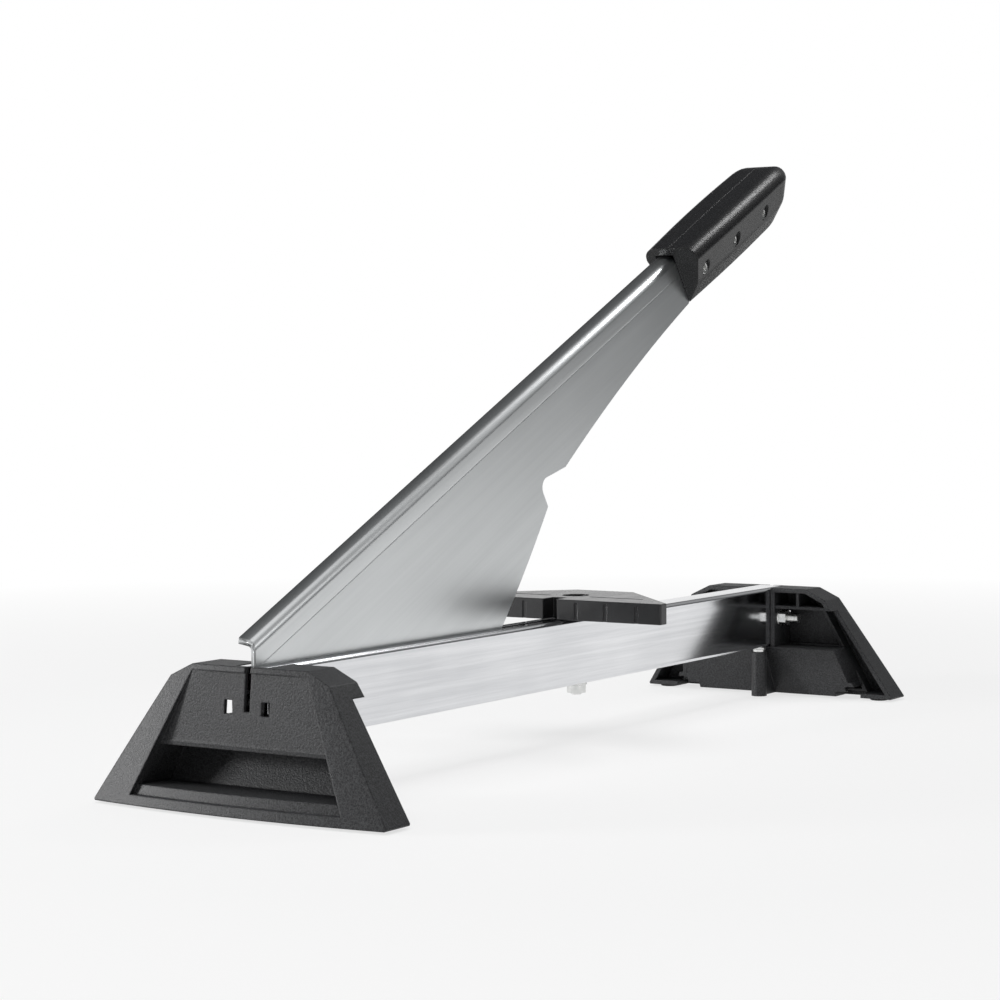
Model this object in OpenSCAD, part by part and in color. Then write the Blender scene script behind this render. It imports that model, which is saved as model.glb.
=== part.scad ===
// Lever guillotine for laminate boards.
// A slotted rail stands on two moulded feet. A steel lever blade turns on a bolt at the
// near end of the rail, drops through the slot and is pulled down by a two-shell grip.
// A fence on the rail squares the board, and the notch in the blade straddles it.
// +X runs along the rail to the far foot, +Z is up, and the origin is on the floor
// under the middle of the rail. All sizes are in millimetres.

/* [Rail] */
// Length of the rail
rail_len = 570; // [540:5:680]
// Width of the rail
rail_w = 20; // [18:0.5:24]
// Height of the rail
rail_h = 40; // [38:0.5:46]
// Wall of the rail
rail_wall = 2; // [1.5:0.1:2.5]
// Outside corner radius of the rail
rail_corner = 2.5; // [1:0.1:3]
// Height of the rail above the sole of the feet
rail_lift = 33; // [31:0.5:38]

/* [Lever pivot] */
// Distance of the pivot from the end of the rail
pivot_in = 12; // [11:0.5:15]
// Depth of the pivot below the top of the rail
pivot_drop = 20.5; // [19:0.5:22]
// Diameter of the two cross bolts
bolt_d = 6; // [5:0.5:6.5]
// Length of thread that shows past each nut
bolt_end = 8; // [2:0.5:10]

/* [Blade] */
// Thickness of the blade sheet
blade_t = 3; // [2:0.1:3.2]
// Free space on each side of the blade in the rail's slot
slot_gap = 0.8; // [0.5:0.1:1.2]
// How far the lever stands open at rest, from shut
rest_open = 14.5; // [5:0.5:20]
// Slope of the folded ridge when the lever is shut
ridge_slope = 11.1; // [10:0.1:13]
// Distance of the ridge from the pivot
ridge_rise = 35; // [33:0.5:38]
// Width of the folded lip, from the blade's outer face
lip_w = 11.5; // [9:0.5:13]
// Upward tilt of the lip
lip_tilt = 8; // [0:1:15]
// Outside radius of the fold
fold_r = 5; // [4:0.1:6]
// Reach of the belly's corner from the pivot
belly_reach = 205; // [180:1:215]
// Height of the belly's corner above the sole when shut
belly_clear = 11.5; // [6:0.5:16]
// Bow of the edge between belly and tip
belly_bow = 1.6; // [0.5:0.1:3]
// Bow of the edge between notch and grip
neck_bow = 3.2; // [1:0.1:6]
// Fillet inside the notch
notch_r = 6; // [2:0.5:8]
// Free height of the notch over the fence
notch_gap = 2.4; // [1:0.1:4]

/* [Grip] */
// Distance from the pivot to the grip, along the ridge
grip_start = 481; // [470:1:490]
// Length of the grip
grip_len = 152; // [146:1:165]
// Width of the grip at its ends
grip_w = 37; // [33:0.5:42]
// Depth of the grip
grip_d = 42.5; // [40:0.5:46]
// Height of the grip's back over the ridge
grip_over = 7; // [5:0.5:9]
// Swell of the grip at mid length, on each side
grip_swell = 1.6; // [0:0.1:2.5]
// Rounded length at the rear of the grip
grip_nose = 26; // [18:1:30]
// Diameter of the grip screws
grip_screw_d = 5; // [4:0.5:5]

/* [Fence] */
// Distance of the fence screw from the near end of the rail
fence_at = 313; // [300:1:330]
// Distance from the fence screw to the fence's face
fence_fwd = 30; // [26:0.5:34]
// Distance from the fence screw to the fence's back edge
fence_back = 35; // [32:1:42]
// Width of the fence across the rail
fence_w = 151; // [120:1:170]
// Width of the fence's back edge
fence_tail_w = 40; // [30:1:50]
// Thickness of the fence at its ends
fence_end = 7; // [6.5:0.5:12]
// Height of the fence
fence_h = 12.2; // [10:0.1:14]
// Width of the gap that the blade drops through
fence_gap_w = 9.6; // [8:0.1:12]
// Diameter of the fence screw
fence_screw_d = 6; // [5:0.5:6]
// Walls of the fence moulding
fence_wall = 2.6; // [2:0.1:3]

/* [Feet] */
// Width of a foot on the floor
foot_w = 187; // [170:1:210]
// Width of a foot at its shoulders
shoulder_w = 101; // [90:1:110]
// Width of the flat top
cap_w = 73; // [66:1:80]
// Height of the slanted shoulders
shoulder_h = 6.7; // [5:0.1:9]
// Reach of the foot in front of the rail
foot_reach = 21.5; // [20:0.5:24]
// Lean of the foot's face
foot_lean = 14.2; // [13:0.1:15]
// Radius of the bowed face
foot_bow_r = 710; // [500:10:1200]
// Inner edge of the sole, from the end of the rail
sole_in = 5; // [4:0.5:8]
// Inner edge of the legs under the cap, from the end of the rail
leg_in = 10; // [9:0.5:13]
// Depth of the cap over the rail
cap_depth = 20; // [19:0.5:24]
// Reach of the finger recess behind the end of the rail, at its roof
box_in = 21; // [18:0.5:22]
// Half width of the finger recess's back at the sill
box_low = 58; // [54:0.5:60]
// Half width of the finger recess's back at the roof
box_high = 55; // [50:0.5:56]
// Walls of the foot moulding
foot_wall = 3; // [2.4:0.1:3.4]
// Height of the recess for the fingers
grip_hole_h = 20.6; // [18:0.2:22]
// Height of the sill under the recess
sill_h = 10.4; // [9.2:0.2:11.6]
// Height of the face's bar, that stands before the sill
bar_h = 5.2; // [4.4:0.2:6]
// Half width of the face recess at the bar
recess_low = 67; // [60:0.5:70]
// Half width of the face recess at the top
recess_high = 35; // [32:0.5:36]
// Bottom of the blade slot in the face, above the sole
face_slot_z = 50.5; // [48:0.5:52]
// Height that the rubber pads stand proud of the sole
pad_proud = 1.2; // [0.8:0.1:2.5]
// Diameter of the rubber pads
pad_d = 12; // [8:0.5:12]

/* [Fits] */
// Clearance between the rail and its seats
seat_gap = 0.25; // [0.1:0.05:0.4]
// Radial clearance of the running bores
run_gap = 0.05; // [0.02:0.01:0.1]
// Radial clearance of bolt and screw holes
hole_gap = 0.2; // [0.1:0.05:0.3]
// Free space between faces that move past each other
move_gap = 0.3; // [0.3:0.05:0.5]

/* [Hidden] */
$fn = 64;
ARC_STEPS = 6;
BIG = 400;
EPS = 0.01;

// Heights above the floor and places along the rail
rail_z = pad_proud + rail_lift;
rail_top = rail_z + rail_h;
near_x = -rail_len / 2;
pivot_x = near_x + pivot_in;
pivot_z = rail_top - pivot_drop;
rail_in_w = rail_w - 2 * rail_wall;
foot_h = rail_lift + rail_h;
pivot_up = foot_h - pivot_drop;

// Hardware proportions
washer_t = 1.6;
bolt_head_h = 0.66 * bolt_d;
bolt_nut_h = 0.81 * bolt_d;
bolt_af = 1.625 * bolt_d;
bolt_washer_d = 2 * bolt_d;
bolt_hole_d = bolt_d + 2 * hole_gap;
fence_nut_h = 0.83 * fence_screw_d;
fence_af = 1.667 * fence_screw_d;
fence_head_h = 0.6 * fence_screw_d;
fence_washer_d = 2.1 * fence_screw_d;
fence_hole_d = fence_screw_d + 2 * hole_gap;
sleeve_d = fence_hole_d + 4;
foot_screw_d = 4;
foot_head_d = 7.5;
foot_head_h = 2.6;
foot_washer_d = 10;
foot_washer_t = 3.2;
foot_flange_t = 1.2;
foot_collar_d = 8.4;
foot_screw_y = 5;
foot_screw_in = box_in + foot_washer_d / 2 + 0.6;
foot_screw_tip = 3;
plug_len = 42;

// Blade: corners with the lever shut, measured from the pivot
slot_w = blade_t + 2 * slot_gap;
ridge_dir = [cos(ridge_slope), sin(ridge_slope)];
fence_face = fence_at - fence_fwd - pivot_in;
fence_z = rail_top + move_gap;
tip_entry = 10;
tip_dip = 2.2;
heel_back = 10.5;
eye_r = 13.5;
edge_start = [9, -eye_r + 1.2];
belly = [belly_reach, belly_clear - pivot_up];
tip = [fence_face + tip_entry, pivot_drop - tip_dip];
notch_z = pivot_drop + move_gap + fence_h + notch_gap;
notch_in = [tip[0] - 5.7, notch_z];
notch_out = [tip[0] + 25, notch_z];
sheet_v = ridge_rise - fold_r;

// Grip: places along the ridge (u) and across it (v)
grip_top_v = ridge_rise + grip_over;
grip_low_v = grip_top_v - grip_d;
grip_rake = 0.2;
grip_mid_v = grip_low_v + 0.56 * grip_d;
screw_v = grip_low_v + 0.52 * grip_d;
screw_u = grip_start + 16;
grip_pitch = (grip_len - 62) / 2;
screw_steps = [0, 1, 2];
tang_low_v = grip_low_v + 9;
tang_end_u = screw_u + 2 * grip_pitch + 2 * grip_screw_d;
grip_head_d = 1.8 * grip_screw_d;
grip_nut_af = 1.6 * grip_screw_d;
grip_head_h = 0.7 * grip_screw_d;
grip_nut_h = 0.8 * grip_screw_d;
grip_land = 10.5;
grip_nut_y = 10;
grip_camber = 0.035;
neck_end = [grip_start + grip_rake * grip_d - 1, grip_low_v + 0.8];

// Slots of the rail: where the shut blade passes each wall, with room at both ends
slot_room = 5;
slot_end = pivot_in + tip[0] + slot_room;
rail_floor = pivot_drop - rail_h + rail_wall;
floor_enter = edge_start[0]
    + (belly[0] - edge_start[0]) * (rail_floor - edge_start[1]) / (belly[1] - edge_start[1]);
floor_leave = belly[0] + (tip[0] - belly[0]) * (rail_floor - belly[1]) / (tip[1] - belly[1]);
floor_slot_a = pivot_in + floor_enter - 2 * slot_room;
floor_slot_b = pivot_in + floor_leave + 2 * slot_room;

// Foot: face panel, socket and finger recess
panel_t = 2.2;
panel_gap = 0.2;
panel_lean = 5.5;
roof_z = sill_h + grip_hole_h;
socket_in = rail_w / 2 + seat_gap;
socket_out = socket_in + foot_wall;
cap_z = 59;
inner_lean = atan((leg_in - sole_in) / cap_z);
box_lean = atan((box_in - sole_in) / rail_lift);
boss_d = 10.4;
boss_web = 2.6;
recess_slope = (recess_low - recess_high) / (foot_h - bar_h);
sill_step = 2.6;
face_slot_w = blade_t + 2 * move_gap;
window_y = [9.2, 14.4];
window_z = [49, 56];
window_depth = 4;
rib_t = 2;
rib_y = 30;
pad_sink = 1.5;
pad_y = foot_w / 2 - 13;
pad_x = sole_in - pad_d / 2 - 1;
rim_cut = [52, 70];
rim_cut_h = 3.5;
bolt_reach = socket_out + washer_t;

// Helpers for outlines

function unit(a) = a / norm(a);
function turn_of(a) = a > 180 ? a - 360 : a < -180 ? a + 360 : a;

// One rounded corner: points of the arc at p between its neighbours a and b
function corner(a, p, b, r) =
    let (da = unit(a - p), db = unit(b - p))
    let (half = acos(da * db) / 2)
    let (c = p + unit(da + db) * r / sin(half))
    let (pa = p + da * r / tan(half), pb = p + db * r / tan(half))
    let (start = atan2(pa[1] - c[1], pa[0] - c[0]))
    let (sweep = turn_of(atan2(pb[1] - c[1], pb[0] - c[0]) - start))
    [for (i = [0:ARC_STEPS]) c + r * [cos(start + sweep * i / ARC_STEPS), sin(start + sweep * i / ARC_STEPS)]];

// Outline with rounded corners from a list of [x, y, radius]
function rounded(pts) =
    let (n = len(pts))
    [for (i = [0:n - 1])
        let (a = pts[(i + n - 1) % n], p = pts[i], b = pts[(i + 1) % n])
        for (q = p[2] > 0
            ? corner([a[0], a[1]], [p[0], p[1]], [b[0], b[1]], p[2])
            : [[p[0], p[1]]]) q];

// Same outline with its straight corners moved inwards by t, for points in anticlockwise order
function inset(pts, t) =
    let (n = len(pts))
    [for (i = [0:n - 1])
        let (a = pts[(i + n - 1) % n], p = pts[i], b = pts[(i + 1) % n])
        let (e = unit(p - a), f = unit(b - p))
        let (ne = [-e[1], e[0]], nf = [-f[1], f[0]])
        p + t * (ne + nf) / (1 + ne * nf)];

// Bowed line from p to q that stands out by s on its right, without its end points
function bowed(p, q, s, steps) =
    let (d = q - p, side = unit([d[1], -d[0]]))
    [for (i = [1:steps - 1]) let (t = i / steps) p + d * t + side * 4 * s * t * (1 - t)];

function flat(pts) = [for (p = pts) [p[0], p[1], 0]];

// Draws a side view, with x along the rail and y up, as a plate of thickness t about the middle
module plate(t) {
    rotate([90, 0, 0])
        linear_extrude(height = t, center = true)
            children();
}

// Draws a front view, with x across the rail and y up, as a bar from x0 to x1
module bar(x0, x1) {
    translate([x0, 0, 0])
        rotate([90, 0, 90])
            linear_extrude(height = x1 - x0)
                children();
}

// Round bar across the rail from y0 to y1
module cross_pin(d, y0, y1) {
    translate([0, y1, 0])
        rotate([90, 0, 0])
            cylinder(d = d, h = y1 - y0);
}

module hex_across(af, y0, y1) {
    translate([0, y1, 0])
        rotate([90, 30, 0])
            cylinder(d = af / cos(30), h = y1 - y0, $fn = 6);
}

module at_pivot() {
    translate([pivot_x, 0, pivot_z])
        children();
}

module at_far_bolt() {
    translate([-pivot_x, 0, pivot_z])
        children();
}

// Lever frame: the shut lever, raised to where it stands at rest
module lever() {
    at_pivot()
        rotate([0, -rest_open, 0])
            children();
}

// Along the ridge: x is u, z is v
module along_ridge() {
    lever()
        rotate([0, -ridge_slope, 0])
            children();
}

module at_fence() {
    translate([near_x + fence_at, 0, fence_z])
        children();
}

// Rail

function rail_outline(w, h, r) =
    rounded([[-w / 2, 0, r], [w / 2, 0, r], [w / 2, h, r], [-w / 2, h, r]]);

module slot_cut(x0, x1, z0, z1) {
    translate([x0, -slot_w / 2, z0])
        cube([x1 - x0, slot_w, z1 - z0]);
    translate([x1, 0, z0])
        cylinder(d = slot_w, h = z1 - z0);
}

module rail() {
    inner_corner = max(rail_corner - rail_wall, 0.4);
    color([0.84, 0.85, 0.87])
        difference() {
            translate([near_x, 0, rail_z])
                difference() {
                    bar(0, rail_len)
                        polygon(rail_outline(rail_w, rail_h, rail_corner));
                    translate([0, 0, rail_wall])
                        bar(-1, rail_len + 1)
                            polygon(rail_outline(rail_in_w, rail_h - 2 * rail_wall, inner_corner));
                    slot_cut(-1, slot_end, rail_h - 2 * rail_wall, rail_h + 1);
                    slot_cut(floor_slot_a, floor_slot_b, -1, 2 * rail_wall);
                    translate([floor_slot_a, 0, -1])
                        cylinder(d = slot_w, h = 2 * rail_wall + 1);
                    translate([fence_at, 0, -1])
                        cylinder(d = fence_hole_d, h = rail_h + 2);
                    for (p = [[foot_screw_in, foot_screw_y], [rail_len - foot_screw_in, -foot_screw_y]])
                        translate([p[0], p[1], -1])
                            cylinder(d = foot_screw_d, h = 2 * rail_wall);
                }
            at_pivot()
                cross_pin(bolt_hole_d, -rail_w, rail_w);
            at_far_bolt()
                cross_pin(bolt_hole_d, -rail_w, rail_w);
        }
}

module rail_plug() {
    plug_w = rail_in_w - 2 * seat_gap;
    plug_h = rail_h - 2 * rail_wall - 2 * seat_gap;
    color([0.12, 0.12, 0.13])
        difference() {
            translate([-near_x - plug_len, -plug_w / 2, rail_z + rail_wall + seat_gap])
                cube([plug_len, plug_w, plug_h]);
            at_far_bolt()
                cross_pin(bolt_hole_d, -rail_w, rail_w);
            translate([-near_x - foot_screw_in, -foot_screw_y, rail_z])
                cylinder(d = foot_screw_d, h = rail_h / 4);
        }
}

// Feet: one moulding, used at both ends

function foot_corners() = [
    [-foot_w / 2, 0], [foot_w / 2, 0], [shoulder_w / 2, foot_h - shoulder_h],
    [cap_w / 2, foot_h], [-cap_w / 2, foot_h], [-shoulder_w / 2, foot_h - shoulder_h]
];

function recess_half(z) = recess_low - recess_slope * (z - bar_h);

// Face recess between two heights, wider on each side by grow
function recess_corners(z0, z1, grow) = [
    [-recess_half(z0) - grow, z0], [recess_half(z0) + grow, z0],
    [recess_half(z1) + grow, z1], [-recess_half(z1) - grow, z1]
];

module foot_outline() {
    radii = [1, 1, 2, 2, 2, 2];
    pts = foot_corners();
    polygon(rounded([for (i = [0:5]) [pts[i][0], pts[i][1], radii[i]]]));
}

// Space behind the bowed, leaning face, from a depth behind it
module behind_face(depth) {
    translate([-foot_reach, 0, 0])
        rotate([0, foot_lean, 0])
            translate([foot_bow_r, 0, -BIG / 4])
                cylinder(r = foot_bow_r - depth, h = BIG / 2, $fn = 200);
}

// Space behind the upright panel, from a depth behind its front
module behind_panel(depth) {
    translate([depth - panel_gap - panel_t, 0, foot_h])
        rotate([0, panel_lean, 0])
            translate([0, -BIG / 2, -BIG / 2])
                cube([BIG, BIG, BIG]);
}

// Space in front of a leaning inner side, from a depth before it
module before_side(lean, depth) {
    translate([sole_in - depth, 0, 0])
        rotate([0, lean, 0])
            translate([-BIG, -BIG / 2, -BIG / 4])
                cube([BIG, BIG, BIG / 2]);
}

// Room of the legs, the deeper cap and the socket
module foot_room() {
    before_side(inner_lean, 0);
    translate([-BIG, -BIG / 2, cap_z])
        cube([BIG + cap_depth, BIG, BIG]);
    translate([-BIG, -socket_out, roof_z])
        cube([BIG + cap_depth, 2 * socket_out, BIG]);
}

module face_skin(t) {
    difference() {
        children();
        behind_face(t);
    }
}

// Side walls and cap
module foot_band() {
    bar(-BIG / 4, BIG / 4)
        difference() {
            foot_outline();
            polygon(inset(foot_corners(), foot_wall));
        }
}

// Broad face of the legs and the bar, round the face recess
module foot_frame() {
    face_skin(foot_wall)
        bar(-BIG / 4, BIG / 4)
            difference() {
                foot_outline();
                polygon(recess_corners(bar_h, foot_h + 1, 0));
            }
}

// Rim that joins the frame to the panel
module recess_rim() {
    rim_depth = 4 * foot_wall;
    face_skin(rim_depth)
        bar(-BIG / 4, BIG / 4)
            difference() {
                polygon(recess_corners(bar_h - foot_wall, foot_h, foot_wall));
                polygon(recess_corners(bar_h, foot_h + 1, 0));
            }
}

// Front of the sill, one step behind the bar
module sill_face() {
    intersection() {
        behind_face(sill_step);
        face_skin(sill_step + foot_wall)
            bar(-BIG / 4, BIG / 4)
                polygon(recess_corners(bar_h - 0.4 * foot_wall, sill_h, 0.4 * foot_wall));
    }
}

function box_half(z) = box_low + (box_high - box_low) * (z - sill_h) / (roof_z - sill_h);

// Left side wall of the finger recess, twisting from the slanted face to the steeper back
module finger_wall() {
    ends = [sill_h - foot_wall, rail_lift];
    function edge(k) = [
        [-foot_reach, recess_half(ends[0]) + k, ends[0]], [box_in, box_half(ends[0]) + k, ends[0]],
        [box_in, box_half(ends[1]) + k, ends[1]], [-foot_reach, recess_half(ends[1]) + k, ends[1]]
    ];
    polyhedron(
        points = concat(edge(0), edge(foot_wall)),
        faces = [
            [0, 3, 2], [0, 2, 1], [4, 5, 6], [4, 6, 7],
            [0, 1, 5, 4], [3, 7, 6, 2], [0, 4, 7, 3], [1, 2, 6, 5]
        ]
    );
}

// Side walls, sill, roof and leaning back of the finger recess
module finger_box() {
    bar(-BIG / 4, BIG / 4)
        polygon(recess_corners(sill_h - foot_wall, sill_h, 0.4 * foot_wall));
    intersection() {
        bar(-BIG / 4, BIG / 4)
            polygon(recess_corners(roof_z, rail_lift, 0.4 * foot_wall));
        behind_panel(panel_t / 2);
    }
    for (side = [0, 1])
        mirror([0, side, 0])
            finger_wall();
    difference() {
        bar(-BIG / 4, BIG / 4)
            polygon([
                [-box_half(0) - foot_wall / 2, 0], [box_half(0) + foot_wall / 2, 0],
                [box_half(rail_lift) + foot_wall / 2, rail_lift],
                [-box_half(rail_lift) - foot_wall / 2, rail_lift]
            ]);
        before_side(box_lean, foot_wall);
    }
}

// Column under the rail for the foot screw, with a web to the back of the finger recess
module screw_boss() {
    boss_h = rail_lift - foot_washer_t;
    translate([foot_screw_in, foot_screw_y, 0])
        cylinder(d = boss_d, h = boss_h);
    difference() {
        translate([sole_in - foot_wall, foot_screw_y - boss_web / 2, 0])
            cube([foot_screw_in - sole_in + foot_wall, boss_web, boss_h]);
        before_side(box_lean, foot_wall / 2);
    }
}

// Upright panel over the fingers, with a rolled lip
module face_panel() {
    drop = (foot_h - roof_z) / cos(panel_lean);
    lip_r = panel_t / 2 + 1;
    intersection() {
        bar(-BIG / 4, BIG / 4)
            polygon(recess_corners(roof_z - 2 * lip_r, foot_h, foot_wall / 2));
        translate([-panel_gap - panel_t, 0, foot_h])
            rotate([0, panel_lean, 0]) {
                translate([0, -BIG / 2, -drop])
                    cube([panel_t, BIG, drop]);
                translate([lip_r - 0.3, 0, -drop + lip_r])
                    cross_pin(2 * lip_r, -BIG / 2, BIG / 2);
            }
    }
}

// Cheeks of the rail socket, the floor of the cap and the ribs in the cap
module socket_and_ribs() {
    panel_x = -panel_gap - panel_t;
    for (side = [-1, 1]) {
        translate([panel_x, side * (socket_in + socket_out) / 2 - foot_wall / 2, roof_z])
            cube([BIG / 4, foot_wall, foot_h - roof_z]);
        translate([panel_x, side * rib_y - rib_t / 2, cap_z])
            cube([cap_depth - 1 - panel_x, rib_t, foot_h - cap_z]);
    }
    translate([panel_x, -BIG / 2, cap_z])
        cube([cap_depth - 1 - panel_x, BIG, rib_t]);
}

// Floor of each leg, that carries its pad
module leg_soles() {
    for (side = [-1, 1])
        translate([-BIG / 4, side > 0 ? recess_low : -BIG - recess_low, 0])
            cube([BIG / 2, BIG, foot_wall]);
}

module foot_cuts() {
    translate([0, -socket_in, rail_lift])
        cube([BIG / 4, 2 * socket_in, BIG / 4]);
    translate([-BIG / 4, -face_slot_w / 2, face_slot_z])
        cube([BIG / 4 + 1, face_slot_w, BIG / 4]);
    for (side = [-1, 1]) {
        translate([-BIG / 8, side > 0 ? window_y[0] : -window_y[1], window_z[0]])
            cube([BIG / 8 + window_depth, window_y[1] - window_y[0], window_z[1] - window_z[0]]);
        translate([pad_x, side * pad_y, -1])
            cylinder(d = pad_d, h = pad_sink + 1);
        translate([-foot_reach / 2, side > 0 ? rim_cut[0] : -rim_cut[1], -1])
            cube([BIG / 4, rim_cut[1] - rim_cut[0], rim_cut_h + 1]);
    }
    translate([foot_screw_in, foot_screw_y, -1])
        cylinder(d = foot_screw_d + 2 * hole_gap, h = rail_lift);
    translate([foot_screw_in, foot_screw_y, -1])
        cylinder(d = foot_head_d + 2 * hole_gap, h = foot_head_h + 3);
    translate([pivot_in, 0, pivot_up])
        cross_pin(bolt_hole_d, -2 * socket_out, 2 * socket_out);
}

module foot() {
    color([0.16, 0.16, 0.17])
        difference() {
            union() {
                intersection() {
                    bar(-BIG / 4, BIG / 4)
                        foot_outline();
                    behind_face(0);
                    foot_room();
                    union() {
                        foot_band();
                        foot_frame();
                        recess_rim();
                        sill_face();
                        face_panel();
                        socket_and_ribs();
                        leg_soles();
                    }
                }
                intersection() {
                    behind_face(sill_step + foot_wall / 2);
                    before_side(box_lean, 0);
                    finger_box();
                }
                screw_boss();
            }
            foot_cuts();
        }
}

module near_end() {
    translate([near_x, 0, pad_proud])
        children();
}

module far_end() {
    rotate([0, 0, 180])
        near_end()
            children();
}

module near_foot() {
    near_end() foot();
}

module far_foot() {
    far_end() foot();
}

// Screw from below into the rail, beside the path of the blade
module foot_screw() {
    head_z = 2;
    shank = rail_lift + rail_wall + foot_screw_tip - head_z - foot_head_h;
    translate([foot_screw_in, foot_screw_y, head_z]) {
        cylinder(d = foot_head_d, h = foot_head_h);
        translate([0, 0, foot_head_h - EPS])
            cylinder(d = foot_screw_d - 2 * run_gap, h = shank);
    }
}

// Flanged collar between the column and the rail
module foot_collar() {
    translate([foot_screw_in, foot_screw_y, rail_lift - foot_washer_t])
        difference() {
            union() {
                cylinder(d = foot_collar_d, h = foot_washer_t);
                translate([0, 0, foot_washer_t - foot_flange_t])
                    cylinder(d = foot_washer_d, h = foot_flange_t);
            }
            translate([0, 0, -1])
                cylinder(d = foot_screw_d + 2 * hole_gap, h = foot_washer_t + 2);
        }
}

module foot_screws() {
    color([0.78, 0.78, 0.76]) {
        near_end() foot_screw();
        far_end() foot_screw();
    }
}

module foot_washers() {
    color([0.80, 0.80, 0.79]) {
        near_end() foot_collar();
        far_end() foot_collar();
    }
}

module pads() {
    color([0.07, 0.07, 0.07])
        for (side = [-1, 1])
            translate([pad_x, side * pad_y, -pad_proud])
                cylinder(d = pad_d - 2 * run_gap, h = pad_proud + pad_sink);
}

module near_pads() {
    near_end() pads();
}

module far_pads() {
    far_end() pads();
}

// Cross bolts with washers and nuts, head on the left and nut on the right

module cross_bolt() {
    color([0.75, 0.76, 0.77]) {
        hex_across(bolt_af, bolt_reach, bolt_reach + bolt_head_h);
        cross_pin(bolt_d, -bolt_reach - bolt_nut_h - bolt_end, bolt_reach + EPS);
    }
}

module cross_nut() {
    color([0.80, 0.80, 0.79])
        difference() {
            hex_across(bolt_af, -bolt_reach - bolt_nut_h, -bolt_reach);
            cross_pin(bolt_d + 2 * run_gap, -2 * bolt_reach, 0);
        }
}

module cross_washers() {
    color([0.80, 0.80, 0.79])
        for (y = [socket_out, -bolt_reach])
            difference() {
                cross_pin(bolt_washer_d, y, y + washer_t);
                cross_pin(bolt_hole_d, y - 1, y + washer_t + 1);
            }
}

module pivot_spacer(side) {
    y0 = blade_t / 2 + move_gap;
    y1 = rail_in_w / 2;
    color([0.85, 0.85, 0.80])
        at_pivot()
            mirror([0, side > 0 ? 0 : 1, 0])
                difference() {
                    cross_pin(bolt_washer_d, y0, y1);
                    cross_pin(bolt_hole_d, y0 - 1, y1 + 1);
                }
}

module pivot_bolt() {
    at_pivot() cross_bolt();
}

module pivot_nut() {
    at_pivot() cross_nut();
}

module pivot_washers() {
    at_pivot() cross_washers();
}

module pivot_spacer_left() {
    pivot_spacer(1);
}

module pivot_spacer_right() {
    pivot_spacer(-1);
}

module far_bolt() {
    at_far_bolt() cross_bolt();
}

module far_nut() {
    at_far_bolt() cross_nut();
}

module far_washers() {
    at_far_bolt() cross_washers();
}

// Blade

// Point at u along the ridge and v across it, with the lever shut
function ridge_point(u, v) =
    [u * ridge_dir[0] - v * ridge_dir[1], u * ridge_dir[1] + v * ridge_dir[0]];

function sheet_outline() =
    let (neck = ridge_point(neck_end[0], neck_end[1]))
    rounded(concat(
        flat([edge_start, belly]),
        flat(bowed(belly, tip, belly_bow, 8)),
        [[tip[0], tip[1], 0.6], [notch_in[0], notch_in[1], notch_r], [notch_out[0], notch_out[1], 1]],
        flat(bowed(notch_out, neck, -neck_bow, 10)),
        flat([
            neck,
            ridge_point(neck_end[0] + 5, tang_low_v),
            ridge_point(tang_end_u, tang_low_v),
            ridge_point(tang_end_u, sheet_v),
            ridge_point(-fold_r * 4, sheet_v),
            [-eye_r, 0]
        ])
    ));

// Section of the fold and lip: x is v from the ridge, y runs across the rail to the left
module fold_section() {
    inner_r = fold_r - blade_t;
    bend = 90 - lip_tilt;
    lip_run = lip_w - fold_r;
    function on_bend(r, a) = [fold_r - r * cos(a), sin(a) * r];
    out_end = on_bend(fold_r, bend);
    in_end = on_bend(inner_r, bend);
    along = lip_run * [sin(bend), cos(bend)];
    steps = 8;
    root = 2;
    pts = concat(
        [[0, -root]],
        [for (i = [0:steps]) on_bend(fold_r, bend * i / steps)],
        [out_end + along, in_end + along],
        [for (i = [steps:-1:0]) on_bend(inner_r, bend * i / steps)],
        [[blade_t, -root]]
    );
    polygon([for (p = pts) [p[0] - blade_t / 2, p[1]]]);
}

module fold_bar() {
    along_ridge()
        translate([-fold_r * 4, 0, sheet_v])
            rotate([90, 0, 90])
                linear_extrude(height = tang_end_u + fold_r * 4)
                    fold_section();
}

module grip_bores(d, y0, y1) {
    along_ridge()
        for (i = screw_steps)
            translate([screw_u + i * grip_pitch, 0, screw_v])
                cross_pin(d, y0, y1);
}

module blade() {
    crease_v = ridge_rise - 13.5;
    crease = 0.3;
    color([0.72, 0.74, 0.75])
        difference() {
            union() {
                lever()
                    plate(blade_t) {
                        polygon(sheet_outline());
                        circle(r = eye_r);
                    }
                fold_bar();
            }
            translate([pivot_x - heel_back - BIG, -BIG / 2, 0])
                cube([BIG, BIG, BIG]);
            at_pivot()
                cross_pin(bolt_d + 2 * run_gap, -rail_w, rail_w);
            grip_bores(grip_screw_d + 2 * hole_gap, -rail_w, rail_w);
            along_ridge()
                translate([0, -blade_t / 2 - 1, crease_v])
                    cube([grip_start - 2, 1 + crease, crease]);
        }
}

// Grip: two shells screwed together through the blade

// Half of the section from the back of the grip to its edge, as [half width, v, radius]
function grip_section(w) = rounded([
    [w, grip_top_v, 8], [-w, grip_top_v, 8], [-w, grip_top_v - 9.5, 6],
    [-w * 0.68, grip_low_v + 15.5, 16], [0, grip_low_v - 1.4, 3.4],
    [w * 0.68, grip_low_v + 15.5, 16], [w, grip_top_v - 9.5, 6]
]);

// Fullness of the rounded nose at t from 0 to 1
function nose(t) = pow(1 - pow(t, 2.8), 1 / 2.8);

// One ring of the grip at share s of its length, drawn in by k towards the middle
function grip_ring(s, k) =
    let (w = grip_w / 2 + grip_swell * sin(180 * s))
    [for (p = grip_section(w))
        let (v = grip_mid_v + (p[1] - grip_mid_v) * k * (1 + grip_camber * sin(180 * s)))
        [grip_start + grip_len * s + grip_rake * (grip_top_v - v) * (1 - s), p[0] * k, v]];

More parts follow.
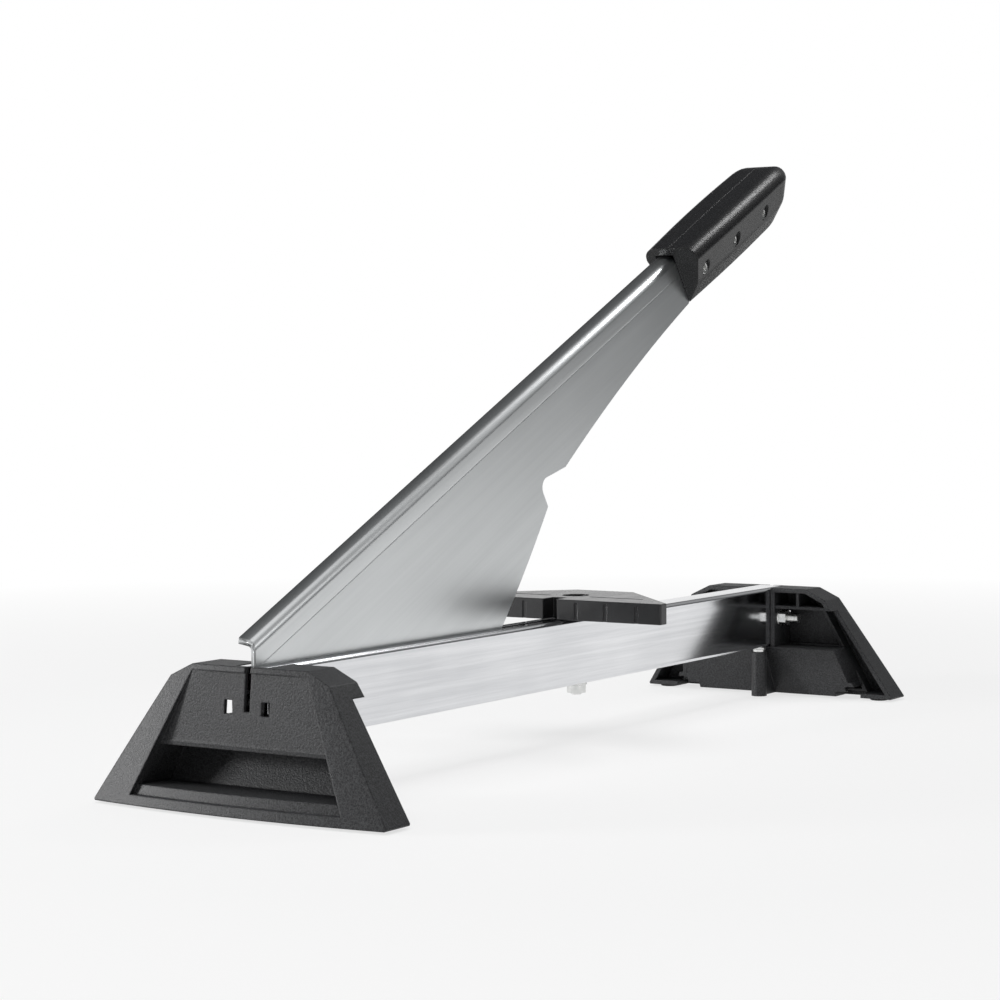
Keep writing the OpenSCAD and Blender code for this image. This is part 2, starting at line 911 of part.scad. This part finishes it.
module grip_body() {
    straight = 1 - grip_nose / grip_len;
    runs = 8;
    bends = [for (i = [1:10]) sin(9 * i - 2)];
    rings = concat(
        [for (i = [0:runs]) grip_ring(straight * i / runs, 1)],
        [for (t = bends) grip_ring(straight + (1 - straight) * t, nose(t))]
    );
    n = len(rings[0]);
    last = len(rings) - 1;
    points = [for (ring = rings) for (p = ring) p];
    faces = concat(
        [[for (i = [0:n - 1]) i]],
        [for (k = [0:last - 1]) for (i = [0:n - 1])
            for (half = [0, 1])
                let (a = k * n + i, b = k * n + (i + 1) % n)
                half == 0 ? [a, a + n, b] : [b, a + n, b + n]],
        [[for (i = [n - 1:-1:0]) last * n + i]]
    );
    along_ridge()
        polyhedron(points = points, faces = faces);
}

// Room for the tang and its fold inside the grip
module tang_room() {
    along_ridge() {
        translate([0, -blade_t / 2 - hole_gap, grip_low_v - 3])
            cube([neck_end[0] + 6, blade_t + 2 * hole_gap, sheet_v - grip_low_v + 3 + fold_r]);
        translate([0, -blade_t / 2 - hole_gap, tang_low_v - hole_gap])
            cube([tang_end_u + 1, blade_t + 2 * hole_gap, sheet_v - tang_low_v + fold_r]);
        translate([0, -blade_t / 2 - hole_gap, sheet_v - 1])
            cube([tang_end_u + 1, lip_w + 1 + 2 * hole_gap, fold_r + 1 + lip_w * sin(lip_tilt)]);
    }
}

// Shell on one side of the seam: 1 is the left, -1 the right
module grip_shell(side) {
    seam = 0.1;
    color([0.09, 0.09, 0.10])
        difference() {
            grip_body();
            translate([-BIG, side > 0 ? seam - BIG : -seam, 0])
                cube([3 * BIG, BIG, 2 * BIG]);
            tang_room();
            grip_bores(grip_screw_d + 2 * hole_gap, -grip_w, grip_w);
            grip_bores(grip_head_d + 2 * hole_gap, -grip_w, -grip_land);
            along_ridge()
                for (i = screw_steps)
                    translate([screw_u + i * grip_pitch, 0, screw_v])
                        hex_across(grip_nut_af + 2 * hole_gap, grip_nut_y, grip_w);
        }
}

module grip_left() {
    grip_shell(1);
}

module grip_right() {
    grip_shell(-1);
}

module grip_screws() {
    color([0.70, 0.70, 0.70])
        along_ridge()
            for (i = screw_steps)
                translate([screw_u + i * grip_pitch, 0, screw_v])
                    difference() {
                        union() {
                            cross_pin(grip_head_d, -grip_land - grip_head_h, -grip_land);
                            cross_pin(grip_screw_d, -grip_land - EPS, grip_nut_y + grip_nut_h);
                        }
                        hex_across(grip_screw_d * 0.8, -grip_land - 2 * grip_head_h, -grip_land - 1);
                    }
}

module grip_nuts() {
    color([0.78, 0.78, 0.77])
        along_ridge()
            for (i = screw_steps)
                translate([screw_u + i * grip_pitch, 0, screw_v])
                    difference() {
                        hex_across(grip_nut_af, grip_nut_y, grip_nut_y + grip_nut_h);
                        cross_pin(grip_screw_d + 2 * run_gap, 0, grip_w);
                    }
}

// Fence

hub_d = 24;
head_room_d = 16;
head_room = fence_head_h + washer_t + 1.4;
fence_top_t = 3;
gap_depth = tip_entry + 2;

function fence_corners() = [
    [-fence_fwd, -fence_w / 2], [-fence_fwd + fence_end, -fence_w / 2],
    [fence_back, -fence_tail_w / 2], [fence_back, fence_tail_w / 2],
    [-fence_fwd + fence_end, fence_w / 2], [-fence_fwd, fence_w / 2]
];

module fence_outline() {
    polygon(rounded([for (p = fence_corners()) [p[0], p[1], 1.2]]));
}

module gap_outline(grow) {
    translate([-fence_fwd - 1, -fence_gap_w / 2 - grow])
        square([gap_depth + 1 + grow, fence_gap_w + 2 * grow]);
}

// Plan of the hollow under the top plate, between the walls, the hub and the ribs
module fence_hollow() {
    rib = 2;
    difference() {
        polygon(inset(fence_corners(), fence_wall));
        circle(d = hub_d);
        gap_outline(fence_wall);
        for (y = [-1, 1])
            translate([-fence_fwd, y * fence_w / 4 - rib / 2])
                square([fence_fwd + fence_back, rib]);
        translate([-rib / 2, -fence_w / 2])
            square([rib, fence_w]);
    }
}

module fence() {
    groove_w = 2;
    groove_t = 1.2;
    groove_x = -8;
    face_lines = [18, 38, 59];
    face_line_w = 2.2;
    face_line_t = 0.8;
    color([0.11, 0.11, 0.12])
        at_fence()
            difference() {
                linear_extrude(height = fence_h)
                    difference() {
                        fence_outline();
                        gap_outline(0);
                    }
                translate([0, 0, -1])
                    linear_extrude(height = fence_h - fence_top_t + 1)
                        fence_hollow();
                translate([0, 0, -1])
                    cylinder(d = fence_screw_d + 2 * run_gap, h = fence_h + 2);
                translate([0, 0, fence_h - head_room])
                    cylinder(d = head_room_d, h = head_room + 1);
                for (side = [-1, 1]) {
                    translate([groove_x, side > 0 ? 14 : -50, fence_h - groove_t])
                        cube([groove_w, 36, groove_t + 1]);
                    for (y = face_lines)
                        translate([-fence_fwd - 1, side * y - face_line_w / 2, -1])
                            cube([face_line_t + 1, face_line_w, fence_h - 1]);
                }
            }
}

module fence_screw() {
    head_z = fence_z + fence_h - head_room + move_gap + washer_t;
    tail = washer_t + fence_nut_h + 1;
    color([0.74, 0.75, 0.76])
        translate([near_x + fence_at, 0, 0]) {
            translate([0, 0, rail_z - tail])
                cylinder(d = fence_screw_d, h = head_z - rail_z + tail + EPS);
            translate([0, 0, head_z])
                cylinder(d = fence_af / cos(30), h = fence_head_h, $fn = 6);
        }
}

module fence_nut() {
    color([0.80, 0.80, 0.79])
        translate([near_x + fence_at, 0, rail_z - washer_t - fence_nut_h])
            difference() {
                cylinder(d = fence_af / cos(30), h = fence_nut_h, $fn = 6);
                translate([0, 0, -1])
                    cylinder(d = fence_screw_d + 2 * run_gap, h = fence_nut_h + 2);
            }
}

module fence_washers() {
    color([0.80, 0.80, 0.79])
        for (z = [rail_z - washer_t, fence_z + fence_h - head_room + move_gap])
            translate([near_x + fence_at, 0, z])
                difference() {
                    cylinder(d = fence_washer_d, h = washer_t);
                    translate([0, 0, -1])
                        cylinder(d = fence_hole_d, h = washer_t + 2);
                }
}

module fence_sleeve() {
    color([0.80, 0.80, 0.79])
        translate([near_x + fence_at, 0, rail_z + rail_wall])
            difference() {
                cylinder(d = sleeve_d, h = rail_h - 2 * rail_wall);
                translate([0, 0, -1])
                    cylinder(d = fence_hole_d, h = rail_h);
            }
}

rail();
rail_plug();
near_foot();
far_foot();
near_pads();
far_pads();
pivot_bolt();
pivot_nut();
pivot_washers();
pivot_spacer_left();
pivot_spacer_right();
far_bolt();
far_nut();
far_washers();
foot_screws();
foot_washers();
blade();
grip_left();
grip_right();
grip_screws();
grip_nuts();
fence();
fence_screw();
fence_nut();
fence_washers();
fence_sleeve();
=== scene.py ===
"""Looks of the laminate cutter: materials, edge rounding, light and camera round the solids.

Lengths are in metres, angles in radians and colours linear.
"""
from math import cos, pi, sin

import bpy
from mathutils import Matrix, Vector


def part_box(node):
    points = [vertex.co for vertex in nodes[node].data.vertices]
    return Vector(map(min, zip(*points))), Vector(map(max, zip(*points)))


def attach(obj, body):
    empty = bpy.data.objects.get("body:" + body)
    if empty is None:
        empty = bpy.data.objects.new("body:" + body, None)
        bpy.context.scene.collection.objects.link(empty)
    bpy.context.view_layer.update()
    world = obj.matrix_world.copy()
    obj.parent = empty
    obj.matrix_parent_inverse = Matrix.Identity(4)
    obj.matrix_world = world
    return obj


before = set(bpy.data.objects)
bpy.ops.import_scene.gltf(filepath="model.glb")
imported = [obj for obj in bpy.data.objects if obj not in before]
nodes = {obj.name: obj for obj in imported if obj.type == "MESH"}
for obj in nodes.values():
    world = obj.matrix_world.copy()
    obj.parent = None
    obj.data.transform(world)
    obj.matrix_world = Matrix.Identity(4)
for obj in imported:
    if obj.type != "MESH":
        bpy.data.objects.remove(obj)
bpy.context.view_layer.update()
scene = bpy.context.scene
scene.view_settings.view_transform = "Standard"

# Surface grain
RIDGE_SLOPE = 0.4468          # of the blade's back, with the lever at rest
LINES_ALONG = (0.02, 1.0, 1.0)
SCUFFS_ALONG = (0.12, 1.0, 1.0)
CLOUDS_ALONG = (0.6, 1.0, 1.0)
FLOW_ALONG = (1.0, 2.5, 1.0)
CELL_SOFTNESS = 0.6
EDGE_SAMPLES = 6

# Modifiers
WELD_GAP = 0.000002
FLAT_ANGLE = 0.006
BEVEL_STEPS = 3
BEVEL_ANGLE = 0.6
NORMAL_WEIGHT = 80

# Width of the rounded edges
NO_EDGE = 0.0
RAIL_EDGE = 0.00015
INSERT_EDGE = 0.0003
HARDWARE_EDGE = 0.00035
PAD_EDGE = 0.0005
GRIP_EDGE = 0.0006
FENCE_EDGE = 0.0006
FOOT_EDGE = 0.0011

# Wound threads
THREAD_R = 0.003
THREAD_PITCH = 0.001
THREAD_RISE = 0.00025
THREAD_SUNK = 0.0001
THREAD_STEPS = 24
THREAD_FLANK = 0.4            # share of the pitch on each side of the crest

# Floor
FLOOR_SIZE = 16.0
FLOOR_DROP = 0.0002
FLOOR_TONE = (0.9, 0.9, 0.9, 1.0)
FLOOR_ROUGH = 0.9
FLOOR_SHARE = 0.7             # how far the floor is plain white close to the part
SHADOW_REACH = (0.45, 1.3)    # the shadow runs out between these distances
# Painted dark reflection: the floor looks darker only to shiny faces, beyond the far foot and far
# to the right
PATCH_X = (0.5, 0.7)          # dark patch beyond the far foot: where it sets in along X,
PATCH_Y_IN = (-0.25, -0.1)    # where it sets in along Y
PATCH_Y_OUT = (0.8, 1.0)      # and where it ends
ASIDE = (0.84, -0.54, 0.0)    # way in which the blade mirrors the floor
ASIDE_REACH = (2.2, 5.0)
ASIDE_DIM = 0.7
PAINTED_REFLECTION_GLOW = 0.2               # brightness of the painted dark reflection patch
WHITE = (1.0, 1.0, 1.0, 1.0)

# World
ROOM_TONE = (0.06, 0.062, 0.064)
BACKDROP_TONE = (0.95, 0.95, 0.95)
CEILING_SHARE = 0.3
WALL_SHARES = (0.75, 0.3)     # to the right and to the left of the part

# Camera
CAMERA_PLACE = (-1.2966, -0.8060, 0.2201)
CAMERA_FORWARD = (0.8377, 0.5440, -0.0488)
CAMERA_RIGHT = (0.5444, -0.8388, -0.0059)
SENSOR_WIDTH = 36.0
LENS = 92.77
CLIP_END = 50.0


class Graph:
    """Short form for building a node tree."""

    def __init__(self, tree):
        self.tree = tree

    def add(self, kind, props=None, **sockets):
        node = self.tree.nodes.new(kind)
        for key, value in (props or {}).items():
            setattr(node, key, value)
        for key, value in sockets.items():
            self.put(node.inputs[key.replace("_", " ")], value)
        return node

    def put(self, socket, value):
        if isinstance(value, bpy.types.NodeSocket):
            self.tree.links.new(value, socket)
        else:
            socket.default_value = value

    def noise(self, vector, scale, detail, rough):
        node = self.add("ShaderNodeTexNoise", Vector=vector, Scale=scale, Detail=detail,
                        Roughness=rough)
        return node.outputs["Fac"]

    def cells(self, vector, scale):
        node = self.add("ShaderNodeTexVoronoi", {"feature": "SMOOTH_F1"}, Vector=vector,
                        Scale=scale, Smoothness=CELL_SOFTNESS)
        return node.outputs["Distance"]

    def stretch(self, vector, scale):
        return self.add("ShaderNodeMapping", Vector=vector, Scale=scale).outputs["Vector"]

    def turned(self, vector, angles):
        return self.add("ShaderNodeMapping", Vector=vector, Rotation=angles).outputs["Vector"]

    def span(self, value, low, high, from_low=0.0, from_high=1.0):
        """Map from_low..from_high to low..high and hold the ends."""
        node = self.add("ShaderNodeMapRange", Value=value, From_Min=from_low,
                        From_Max=from_high, To_Min=low, To_Max=high)
        return node.outputs["Result"]

    def ramp(self, value, *stops):
        """Blend between two colours, each given as (place, colour)."""
        node = self.add("ShaderNodeValToRGB", Fac=value)
        for element, (place, colour) in zip(node.color_ramp.elements, stops):
            element.position = place
            element.color = (*colour, 1.0)
        return node.outputs["Color"]

    def math(self, kind, a, b):
        node = self.add("ShaderNodeMath", {"operation": kind})
        self.put(node.inputs[0], a)
        self.put(node.inputs[1], b)
        return node.outputs["Value"]

    def bump(self, height, strength, distance, below=None):
        node = self.add("ShaderNodeBump", Height=height, Strength=strength, Distance=distance)
        if below is not None:
            self.put(node.inputs["Normal"], below)
        return node.outputs["Normal"]

    def soft_edge(self, radius):
        node = self.add("ShaderNodeBevel", {"samples": EDGE_SAMPLES}, Radius=radius)
        return node.outputs["Normal"]


# Materials

def material(name):
    mat = bpy.data.materials.new(name)
    mat.use_nodes = True
    graph = Graph(mat.node_tree)
    shader = mat.node_tree.nodes["Principled BSDF"]
    place = graph.add("ShaderNodeTexCoord").outputs["Object"]
    return mat, graph, shader, place


def grained_plastic(name, dark, light, grain, depth, rough, spec, edge):
    """Moulded plastic with an eroded grain: small pits, paler crests and slight cloudiness."""
    mat, g, shader, place = material(name)
    crest = g.cells(place, grain)
    speck = g.noise(place, scale=grain * 1.7, detail=3.0, rough=0.6)
    cloud = g.noise(place, scale=38.0, detail=3.0, rough=0.55)
    mixed = g.math("MULTIPLY", speck, g.span(crest, 0.75, 1.25, 0.1, 0.7))
    tone = g.math("ADD", mixed, g.span(cloud, -0.06, 0.06))
    g.put(shader.inputs["Base Color"], g.ramp(tone, (0.30, dark), (0.74, light)))
    g.put(shader.inputs["Roughness"], g.span(tone, rough - 0.06, rough + 0.08, 0.25, 0.75))
    normal = g.bump(crest, strength=0.35, distance=depth, below=g.soft_edge(edge))
    g.put(shader.inputs["Normal"], g.bump(speck, strength=0.45, distance=depth, below=normal))
    shader.inputs["Specular IOR Level"].default_value = spec
    return mat


def smooth_plastic(name, dark, light, rough, edge):
    """Moulded plastic with a fine matt skin and faint flow marks."""
    mat, g, shader, place = material(name)
    skin = g.noise(place, scale=2600.0, detail=2.0, rough=0.5)
    flow = g.noise(g.stretch(place, FLOW_ALONG), scale=24.0, detail=4.0, rough=0.6)
    tone = g.math("ADD", g.span(flow, 0.2, 0.7), g.span(skin, -0.15, 0.15))
    g.put(shader.inputs["Base Color"], g.ramp(tone, (0.2, dark), (0.8, light)))
    g.put(shader.inputs["Roughness"], g.span(flow, rough - 0.05, rough + 0.07))
    normal = g.bump(skin, strength=0.25, distance=0.00012, below=g.soft_edge(edge))
    g.put(shader.inputs["Normal"], normal)
    return mat


def drawn_metal(name, low, high, rough, edge, angles=(0.0, 0.0, 0.0)):
    """Metal with faint lines along its length, cloudy plating and long soft scuffs."""
    mat, g, shader, place = material(name)
    turned = g.turned(place, angles)
    lines = g.noise(g.stretch(turned, LINES_ALONG), scale=300.0, detail=4.0, rough=0.65)
    cloud = g.noise(g.stretch(turned, CLOUDS_ALONG), scale=11.0, detail=3.0, rough=0.5)
    scuff = g.noise(g.stretch(turned, SCUFFS_ALONG), scale=70.0, detail=2.0, rough=0.6)
    tone = g.math("ADD", g.span(lines, 0.30, 0.70, 0.25, 0.75),
                  g.span(cloud, -0.25, 0.25, 0.25, 0.75))
    g.put(shader.inputs["Base Color"], g.ramp(tone, (0.1, low), (0.9, high)))
    worn = g.math("ADD", g.span(scuff, rough - 0.015, rough + 0.02, 0.3, 0.75),
                  g.span(cloud, -0.02, 0.02))
    g.put(shader.inputs["Roughness"], worn)
    g.put(shader.inputs["Normal"], g.soft_edge(edge))
    shader.inputs["Metallic"].default_value = 1.0
    return mat


def plated_metal(name, low, high, rough):
    """Bright zinc on small hardware."""
    mat, g, shader, place = material(name)
    cloud = g.noise(place, scale=220.0, detail=4.0, rough=0.6)
    fine = g.noise(place, scale=1900.0, detail=3.0, rough=0.6)
    g.put(shader.inputs["Base Color"], g.ramp(cloud, (0.3, low), (0.7, high)))
    g.put(shader.inputs["Roughness"], g.span(cloud, rough - 0.06, rough + 0.1))
    g.put(shader.inputs["Normal"], g.bump(fine, strength=0.3, distance=0.00005))
    shader.inputs["Metallic"].default_value = 1.0
    return mat


def rubber(name, dark, light):
    """Matt rubber with a little dust."""
    mat, g, shader, place = material(name)
    fine = g.noise(place, scale=1500.0, detail=3.0, rough=0.6)
    dust = g.noise(place, scale=90.0, detail=3.0, rough=0.6)
    g.put(shader.inputs["Base Color"], g.ramp(dust, (0.3, dark), (0.8, light)))
    g.put(shader.inputs["Roughness"], g.span(fine, 0.75, 0.95))
    g.put(shader.inputs["Normal"], g.bump(fine, strength=0.4, distance=0.0001))
    return mat


foot_plastic = grained_plastic(
    "foot_plastic", dark=(0.010, 0.0102, 0.011), light=(0.062, 0.063, 0.066),
    grain=900.0, depth=0.00024, rough=0.40, spec=0.3, edge=0.0011)
grip_plastic = grained_plastic(
    "grip_plastic", dark=(0.004, 0.004, 0.0045), light=(0.022, 0.022, 0.0235),
    grain=950.0, depth=0.0002, rough=0.25, spec=0.28, edge=0.0015)
black_plastic = smooth_plastic(
    "black_plastic", dark=(0.010, 0.010, 0.011), light=(0.026, 0.026, 0.028),
    rough=0.21, edge=0.0005)
rail_metal = drawn_metal(
    "rail_metal", low=(0.58, 0.59, 0.61), high=(0.96, 0.965, 0.98), rough=0.15, edge=0.0004)
blade_metal = drawn_metal(
    "blade_metal", low=(0.70, 0.72, 0.725), high=(0.82, 0.84, 0.845), rough=0.32, edge=0.0008,
    angles=(0.0, RIDGE_SLOPE, 0.0))
zinc = plated_metal("zinc", low=(0.66, 0.67, 0.66), high=(0.84, 0.84, 0.83), rough=0.24)
pad_rubber = rubber("pad_rubber", dark=(0.010, 0.010, 0.010), light=(0.030, 0.029, 0.028))

# Each node's material and edge. Nodes that aren't named here are zinc hardware.
FINISH = {
    "rail": (rail_metal, RAIL_EDGE),
    "rail_plug": (black_plastic, INSERT_EDGE),
    "near_foot": (foot_plastic, FOOT_EDGE),
    "far_foot": (foot_plastic, FOOT_EDGE),
    "near_pads": (pad_rubber, PAD_EDGE),
    "far_pads": (pad_rubber, PAD_EDGE),
    "pivot_spacer_left": (black_plastic, INSERT_EDGE),
    "pivot_spacer_right": (black_plastic, INSERT_EDGE),
    "blade": (blade_metal, NO_EDGE),
    "grip_left": (grip_plastic, GRIP_EDGE),
    "grip_right": (grip_plastic, GRIP_EDGE),
    "fence": (black_plastic, FENCE_EDGE),
}

for name, obj in nodes.items():
    finish, edge = FINISH.get(name, (zinc, HARDWARE_EDGE))
    obj.data.materials.clear()
    obj.data.materials.append(finish)
    weld = obj.modifiers.new("weld", "WELD")
    weld.merge_threshold = WELD_GAP
    merge = obj.modifiers.new("merge_flats", "DECIMATE")
    merge.decimate_type = "DISSOLVE"
    merge.angle_limit = FLAT_ANGLE
    if edge:
        bevel = obj.modifiers.new("round_edges", "BEVEL")
        bevel.width = edge
        bevel.segments = BEVEL_STEPS
        bevel.limit_method = "ANGLE"
        bevel.angle_limit = BEVEL_ANGLE
        bevel.use_clamp_overlap = True
        bevel.miter_outer = "MITER_ARC"
    smooth = obj.modifiers.new("even_shading", "WEIGHTED_NORMAL")
    smooth.weight = NORMAL_WEIGHT


# Threads on the bolt ends that show past their nuts

def thread(name, start, end, body):
    """A ridge wound along the shank from start to end, both on the bolt's axis."""
    start, end = Vector(start), Vector(end)
    axis = (end - start).normalized()
    side = axis.orthogonal().normalized()
    other = axis.cross(side)
    flank = axis * THREAD_PITCH * THREAD_FLANK
    root = THREAD_R - THREAD_SUNK
    steps = round((end - start).length / THREAD_PITCH * THREAD_STEPS)
    points, faces = [], []
    for i in range(steps + 1):
        turn = 2 * pi * i / THREAD_STEPS
        out = side * cos(turn) + other * sin(turn)
        middle = start + (end - start) * (i / steps)
        fade = min(1.0, i / THREAD_STEPS, (steps - i) / THREAD_STEPS)
        crest = THREAD_SUNK + THREAD_RISE * fade
        points.append(middle + out * root - flank)
        points.append(middle + out * (root + crest))
        points.append(middle + out * root + flank)
    for i in range(steps):
        for j in range(3):
            a, b = 3 * i + j, 3 * i + (j + 1) % 3
            faces.append((a, b, b + 3, a + 3))
    faces.append((2, 1, 0))
    faces.append((3 * steps, 3 * steps + 1, 3 * steps + 2))
    mesh = bpy.data.meshes.new(name)
    mesh.from_pydata(points, [], faces)
    mesh.update()
    mesh.materials.append(zinc)
    obj = bpy.data.objects.new(name, mesh)
    scene.collection.objects.link(obj)
    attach(obj, body)


for bolt, nut, name in (("pivot_bolt", "pivot_nut", "pivot_thread"),
                        ("far_bolt", "far_nut", "far_thread")):
    low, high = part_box(bolt)
    middle = (low + high) / 2
    start = (middle.x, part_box(nut)[0].y - THREAD_PITCH / 2, middle.z)
    end = (middle.x, low.y + THREAD_PITCH / 2, middle.z)
    thread(name, start, end, "base")


# Stage: floor, light and camera

def floor_material():
    """Pale floor that keeps the shadow near the part and runs out into white.

    Shiny faces see a painted dark reflection in it: a dark patch beyond the far foot, and the
    floor dimmer far to the right.
    """
    mat, g, shader, place = material("pale_floor")
    shader.inputs["Base Color"].default_value = FLOOR_TONE
    shader.inputs["Roughness"].default_value = FLOOR_ROUGH
    path = g.add("ShaderNodeLightPath")
    spot = g.add("ShaderNodeSeparateXYZ", Vector=place)
    x, y = spot.outputs["X"], spot.outputs["Y"]
    # Painted dark reflection: the patch and the far-right dimming darken the floor for glossy rays
    # only
    beyond = g.math("MULTIPLY", g.span(x, 0.0, 1.0, *PATCH_X), g.span(y, 0.0, 1.0, *PATCH_Y_IN))
    patch = g.math("MULTIPLY", beyond, g.span(y, 1.0, 0.0, *PATCH_Y_OUT))
    aside = g.add("ShaderNodeVectorMath", {"operation": "DOT_PRODUCT"})
    g.put(aside.inputs[0], place)
    g.put(aside.inputs[1], ASIDE)
    dim = g.math("MAXIMUM", patch, g.span(aside.outputs["Value"], 0.0, ASIDE_DIM, *ASIDE_REACH))
    painted_reflection = g.math("MULTIPLY", path.outputs["Is Glossy Ray"], dim)
    glow = g.add("ShaderNodeEmission", Color=WHITE, Strength=g.span(painted_reflection, 1.0, PAINTED_REFLECTION_GLOW))
    away = g.add("ShaderNodeVectorMath", {"operation": "LENGTH"})
    g.put(away.inputs[0], place)
    fade = g.span(away.outputs["Value"], FLOOR_SHARE, 1.0, *SHADOW_REACH)
    share = g.math("MAXIMUM", fade, painted_reflection)
    looked_at = g.math("MAXIMUM", path.outputs["Is Camera Ray"], path.outputs["Is Glossy Ray"])
    mix = g.add("ShaderNodeMixShader")
    g.put(mix.inputs[0], g.math("MULTIPLY", looked_at, share))
    g.put(mix.inputs[1], shader.outputs["BSDF"])
    g.put(mix.inputs[2], glow.outputs["Emission"])
    g.put(mat.node_tree.nodes["Material Output"].inputs["Surface"], mix.outputs["Shader"])
    return mat


def add_floor():
    half = FLOOR_SIZE / 2
    corners = [(-half, -half, 0), (half, -half, 0), (half, half, 0), (-half, half, 0)]
    mesh = bpy.data.meshes.new("floor")
    mesh.from_pydata(corners, [], [(0, 1, 2, 3)])
    mesh.materials.append(floor_material())
    obj = bpy.data.objects.new("floor", mesh)
    scene.collection.objects.link(obj)
    obj.location = (0, 0, -FLOOR_DROP)


def studio_world():
    """White to the camera, with a pale backdrop low behind the part and a dim room elsewhere.

    The grey wall in front and the grey ceiling show only in shiny faces.
    """
    world = bpy.data.worlds.new("studio")
    world.use_nodes = True
    g = Graph(world.node_tree)
    path = g.add("ShaderNodeLightPath")
    sky = g.add("ShaderNodeTexCoord").outputs["Generated"]
    ray = g.add("ShaderNodeSeparateXYZ", Vector=sky)
    x, y, z = (ray.outputs[axis] for axis in "XYZ")
    behind = g.math("MULTIPLY", g.span(y, 0.0, 1.0, -0.05, 0.4), g.span(x, 0.0, 1.0, -0.2, 0.4))
    backdrop = g.math("MULTIPLY", behind, g.span(z, 1.0, 0.0, 0.12, 0.36))
    front = g.math("MULTIPLY", g.span(x, 1.0, 0.0, -0.5, 0.0), g.span(y, *WALL_SHARES, -0.3, 0.2))
    wall = g.math("MULTIPLY", front, g.span(z, 1.0, 0.0, 0.5, 0.85))
    ceiling = g.math("MULTIPLY", g.span(z, 0.0, 1.0, 0.12, 0.32),
                     g.span(behind, CEILING_SHARE, 0.0))
    grey = g.math("MAXIMUM", wall, ceiling)
    mirrored = g.math("MULTIPLY", grey, path.outputs["Is Glossy Ray"])
    glow = g.math("MAXIMUM", backdrop, mirrored)
    back = g.add("ShaderNodeMix", {"data_type": "RGBA"})
    g.put(back.inputs[0], path.outputs["Is Camera Ray"])
    g.put(back.inputs[6], g.ramp(glow, (0.0, ROOM_TONE), (1.0, BACKDROP_TONE)))
    g.put(back.inputs[7], WHITE)
    g.put(world.node_tree.nodes["Background"].inputs["Color"], back.outputs[2])
    return world


def lamp(name, place, target, size, power, mirrored=True):
    """An area lamp that the camera doesn't see, and that shiny faces mirror if so asked."""
    data = bpy.data.lights.new(name, "AREA")
    data.shape = "RECTANGLE"
    data.size, data.size_y = size
    data.energy = power
    obj = bpy.data.objects.new(name, data)
    scene.collection.objects.link(obj)
    obj.location = place
    obj.rotation_euler = (Vector(target) - Vector(place)).to_track_quat("-Z", "Y").to_euler()
    obj.visible_camera = False
    obj.visible_glossy = mirrored


def add_camera():
    """Camera at the photograph's viewing angle."""
    forward = Vector(CAMERA_FORWARD).normalized()
    right = Vector(CAMERA_RIGHT)
    right = (right - forward * right.dot(forward)).normalized()
    up = right.cross(forward)
    data = bpy.data.cameras.new("camera")
    data.sensor_width = SENSOR_WIDTH
    data.lens = LENS
    data.clip_end = CLIP_END
    camera = bpy.data.objects.new("camera", data)
    scene.collection.objects.link(camera)
    turn = Matrix((right, up, -forward)).transposed().to_4x4()
    camera.matrix_world = Matrix.Translation(CAMERA_PLACE) @ turn
    scene.camera = camera


add_floor()
scene.world = studio_world()

# The top light comes in two: one lights matt faces, a weak one is what the metal mirrors
lamp("top_box", place=(-0.5, 0.1, 1.9), target=(0.0, 0.0, 0.0),
     size=(1.5, 1.3), power=19.5, mirrored=False)
lamp("top_sheen", place=(-0.48, 0.1, 1.83), target=(0.0, 0.0, 0.0), size=(1.5, 1.3), power=4.0)
lamp("left_box", place=(-1.25, 1.46, 0.36), target=(-0.3, 0.05, 0.03), size=(0.4, 0.5), power=18.0)
lamp("right_box", place=(0.0, -1.9, 1.1), target=(0.0, 0.0, 0.1), size=(1.2, 0.6), power=3.0)
# Line along the blade's fold, and bright shoulder of the grip
lamp("bend_strip", place=(1.1, -0.5, 1.55), target=(0.15, 0.0, 0.25), size=(0.6, 1.5), power=2.2)
lamp("rim_box", place=(0.402, -0.147, 0.603), target=(0.22, -0.015, 0.335),
     size=(0.10, 0.14), power=0.5)

add_camera()
